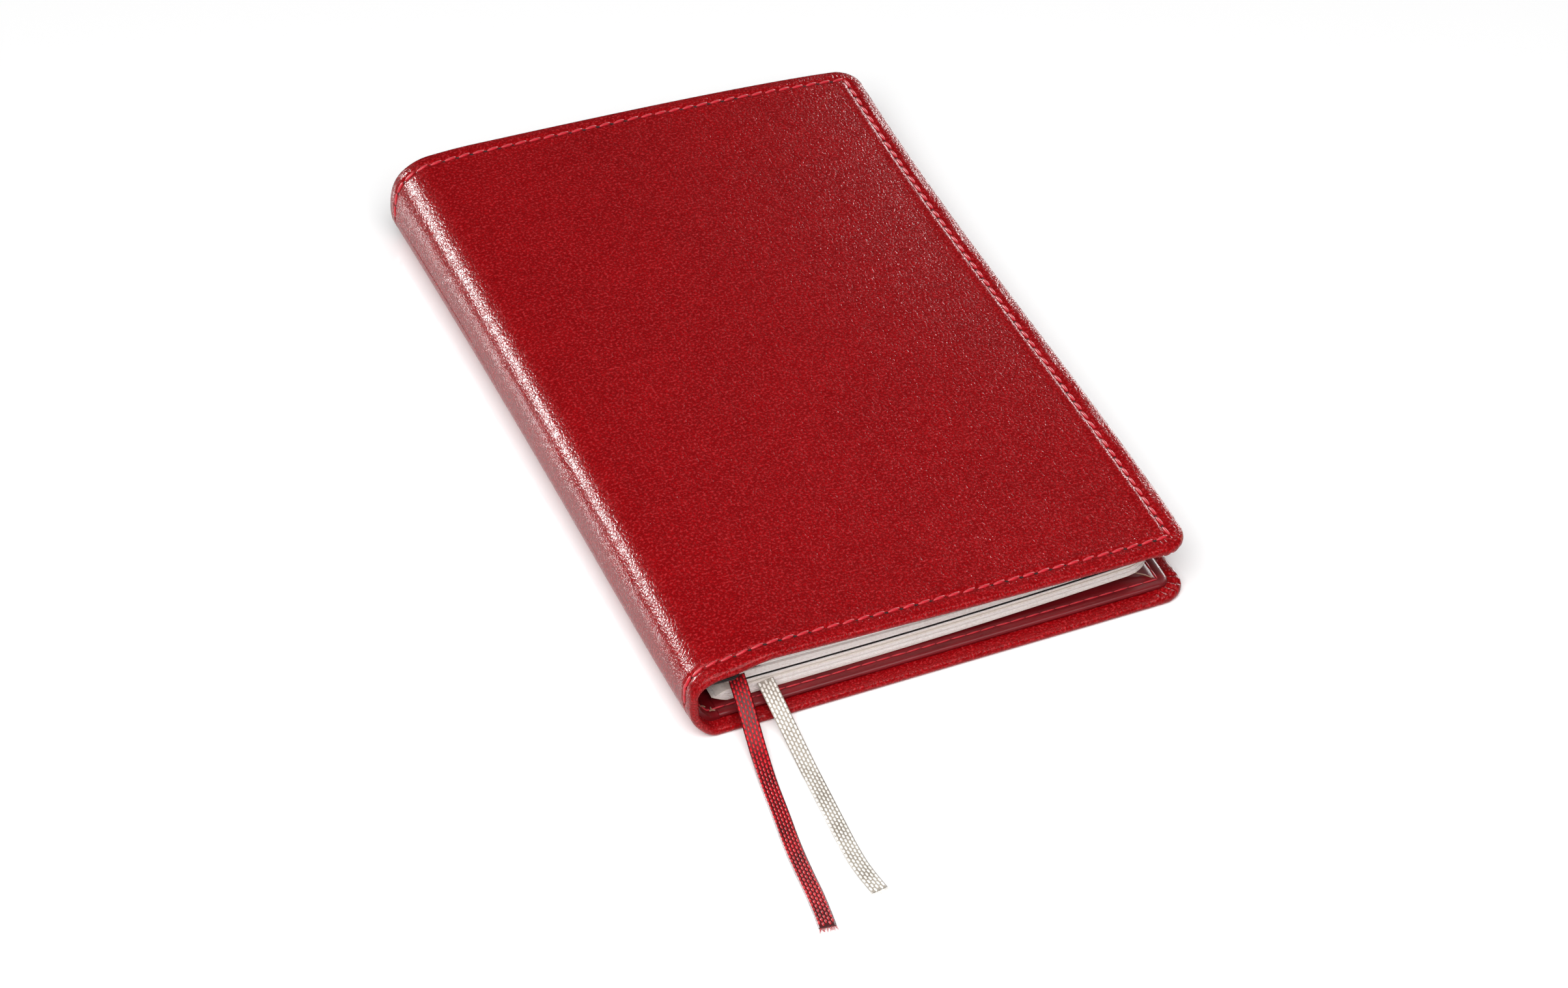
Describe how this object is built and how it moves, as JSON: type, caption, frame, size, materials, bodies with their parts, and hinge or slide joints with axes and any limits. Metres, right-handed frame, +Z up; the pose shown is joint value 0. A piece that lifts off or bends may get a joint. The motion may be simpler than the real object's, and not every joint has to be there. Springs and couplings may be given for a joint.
{
  "type": "pocket notebook",
  "caption": "Refillable leather pocket notebook: sewn wrap-around cover with a soft rounded spine, stapled booklets held on elastic cords, and ribbon page markers.",
  "frame": {"origin": "under the middle of the closed notebook without its ribbons, on the surface it lies on", "axes": "+X from the spine to the fore edge, +Y from the tail, where the ribbons hang out, to the head, +Z up out of the front cover"},
  "size_m": [0.101, 0.2117, 0.0173],
  "materials": {
    "red_leather": "semi-gloss fine-grained cowhide, dyed red",
    "lining_leather": "smooth split leather, dark red",
    "bonded_fibre": "matt bonded leather fibre, tan",
    "red_thread": "waxed polyester sewing thread, bright red",
    "cream_paper": "uncoated cream paper",
    "cream_card": "smooth cream cover card",
    "black_card": "through-dyed black card",
    "steel_wire": "galvanised stapling wire",
    "black_elastic": "braided covered elastic cord",
    "red_ribbon": "woven satin-edge ribbon, red",
    "cream_ribbon": "woven satin-edge ribbon, cream"
  },
  "bodies": {
    "back_cover": {"back_outer_leather": "red_leather", "back_stiffener": "bonded_fibre", "back_pocket_panel": "lining_leather", "back_seam_thread": "red_thread", "booklet_a_fold": "cream_paper", "booklet_b_fold": "cream_paper", "booklet_a_staples": "steel_wire", "booklet_b_staples": "steel_wire", "booklet_a_elastic": "black_elastic", "booklet_b_elastic": "black_elastic", "ribbon_red": "red_ribbon", "ribbon_cream": "cream_ribbon"},
    "spine": {"spine_outer_leather": "red_leather", "spine_stiffener": "bonded_fibre", "spine_lining": "lining_leather", "spine_seam_thread": "red_thread", "elastic_knots": "black_elastic", "ribbon_tab": "lining_leather"},
    "front_cover": {"front_outer_leather": "red_leather", "front_stiffener": "bonded_fibre", "front_pocket_panel": "lining_leather", "front_seam_thread": "red_thread"},
    "booklet_b_lower": {"booklet_b_back_card": "cream_card", "booklet_b_lower_leaves": "cream_paper"},
    "booklet_b_upper": {"booklet_b_upper_leaves": "cream_paper", "booklet_b_front_card": "cream_card", "ribbon_cream_inner": "cream_ribbon"},
    "booklet_a_lower": {"booklet_a_back_card": "cream_card", "booklet_a_lower_leaves": "cream_paper", "booklet_a_divider": "black_card", "booklet_a_middle_leaves": "cream_paper", "ribbon_red_inner": "red_ribbon"},
    "booklet_a_upper": {"booklet_a_upper_leaves": "cream_paper", "booklet_a_front_card": "cream_card"}
  },
  "joints": [
    {"name": "back_fold", "type": "hinge", "parent": "back_cover", "child": "spine", "pos_m": [-0.04845, 0, 0.00205], "axis": [0, -1, 0], "range_deg": [0, 90]},
    {"name": "front_fold", "type": "hinge", "parent": "spine", "child": "front_cover", "pos_m": [-0.04759, 0, 0.01473], "axis": [0, -1, 0], "range_deg": [0, 92.48]},
    {"name": "booklet_a_upper_turn", "type": "hinge", "parent": "back_cover", "child": "booklet_a_upper", "pos_m": [-0.04013, 0, 0.00953], "axis": [0, -1, 0], "range_deg": [0, 183]},
    {"name": "booklet_a_lower_turn", "type": "hinge", "parent": "back_cover", "child": "booklet_a_lower", "pos_m": [-0.04013, 0, 0.00953], "axis": [0, -1, 0], "range_deg": [0, 7]},
    {"name": "booklet_b_upper_turn", "type": "hinge", "parent": "back_cover", "child": "booklet_b_upper", "pos_m": [-0.04158, 0, 0.00443], "axis": [0, -1, 0], "range_deg": [0, 4.5]},
    {"name": "booklet_b_lower_turn", "type": "hinge", "parent": "back_cover", "child": "booklet_b_lower", "pos_m": [-0.04158, 0, 0.00443], "axis": [0, -1, 0], "range_deg": [0, 2]}
  ],
  "couplings": [
    {"joint": "front_fold", "follows": "back_fold", "ratio": 1.0275},
    {"joint": "booklet_a_upper_turn", "follows": "back_fold", "ratio": 2.0333},
    {"joint": "booklet_a_lower_turn", "follows": "back_fold", "ratio": 0.077777},
    {"joint": "booklet_b_upper_turn", "follows": "back_fold", "ratio": 0.049999},
    {"joint": "booklet_b_lower_turn", "follows": "back_fold", "ratio": 0.022221}
  ]
}
